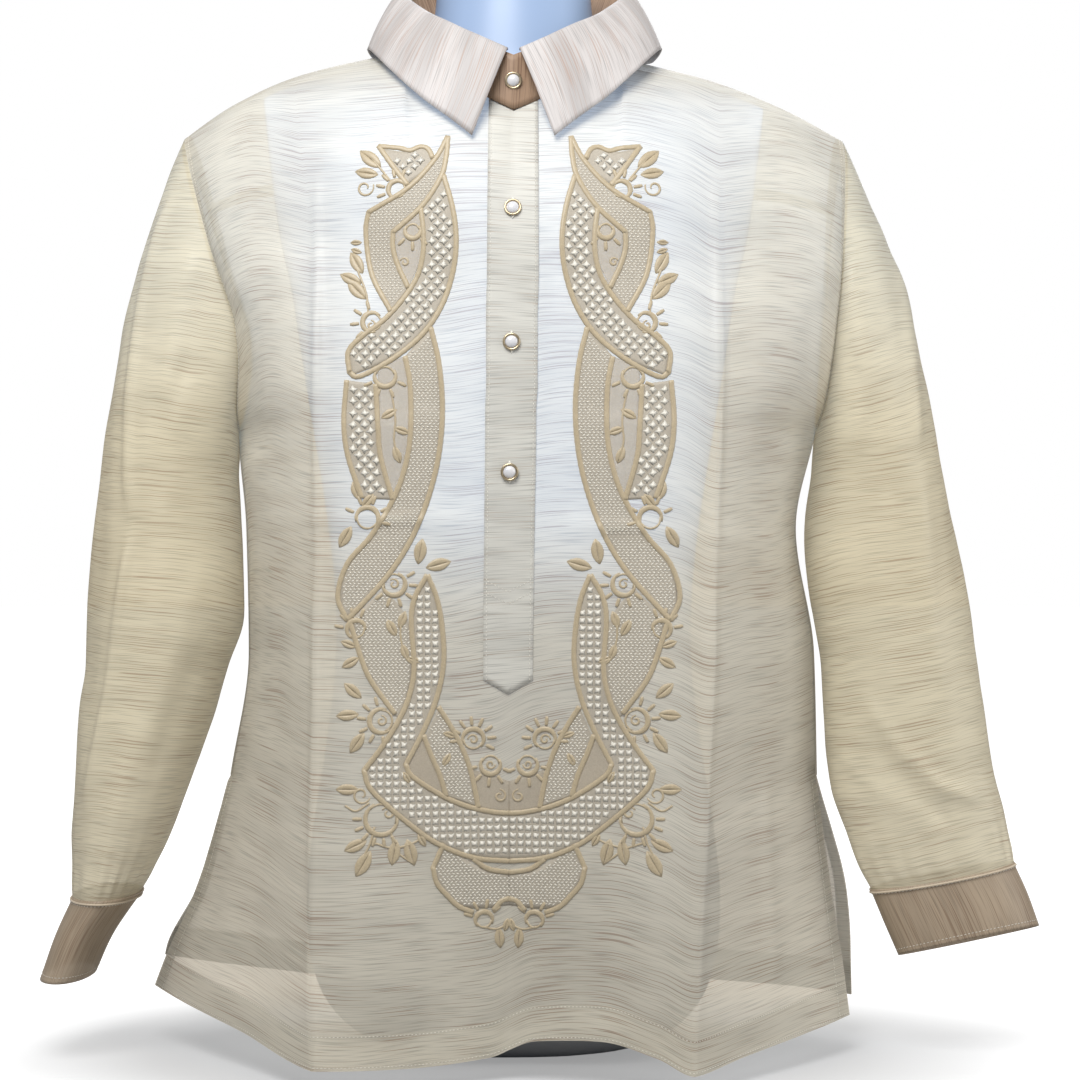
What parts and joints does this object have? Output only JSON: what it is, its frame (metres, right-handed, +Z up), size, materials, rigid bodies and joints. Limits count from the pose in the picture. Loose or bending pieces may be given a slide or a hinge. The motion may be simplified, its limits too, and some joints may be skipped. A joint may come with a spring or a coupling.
{
  "type": "barong tagalog shirt on a dress form",
  "caption": "Sheer long-sleeved formal shirt with a turned-down collar, half placket and embroidered chest, worn open at the cuffs and hem by a plain limbless torso form.",
  "frame": {"origin": "on the surface that the form stands on, under the middle of its neck", "axes": "+X towards the wearer's left, -Y towards the front, +Z up"},
  "size_m": [0.7942, 0.3339, 0.889],
  "materials": {
    "form": "smooth pale blue satin",
    "body_cloth": "sheer ivory slub weave, single layer",
    "sleeve_cloth": "sheer ivory slub weave, single layer",
    "cuff_cloth": "sheer slub weave, folded double",
    "stand_cloth": "sheer slub weave over a woven interlining",
    "collar_cloth": "sheer slub weave, folded double",
    "placket_cloth": "sheer slub weave, folded double",
    "thread": "satin embroidery and sewing thread",
    "gilt": "polished thin metal cup",
    "pearl": "glossy pearl dome"
  },
  "bodies": {
    "root": {"dress_form": "form", "front": "body_cloth", "back": "body_cloth", "back_yoke": "body_cloth", "sleeve_right": "sleeve_cloth", "sleeve_left": "sleeve_cloth", "cuff_right": "cuff_cloth", "cuff_left": "cuff_cloth", "collar_stand": "stand_cloth", "collar_leaf": "collar_cloth", "placket": "placket_cloth", "button_neck_rim": "gilt", "button_neck_pearl": "pearl", "button_1_rim": "gilt", "button_1_pearl": "pearl", "button_2_rim": "gilt", "button_2_pearl": "pearl", "button_3_rim": "gilt", "button_3_pearl": "pearl", "button_cuff_right_rim": "gilt", "button_cuff_right_pearl": "pearl", "button_cuff_left_rim": "gilt", "button_cuff_left_pearl": "pearl"}
  },
  "joints": []
}
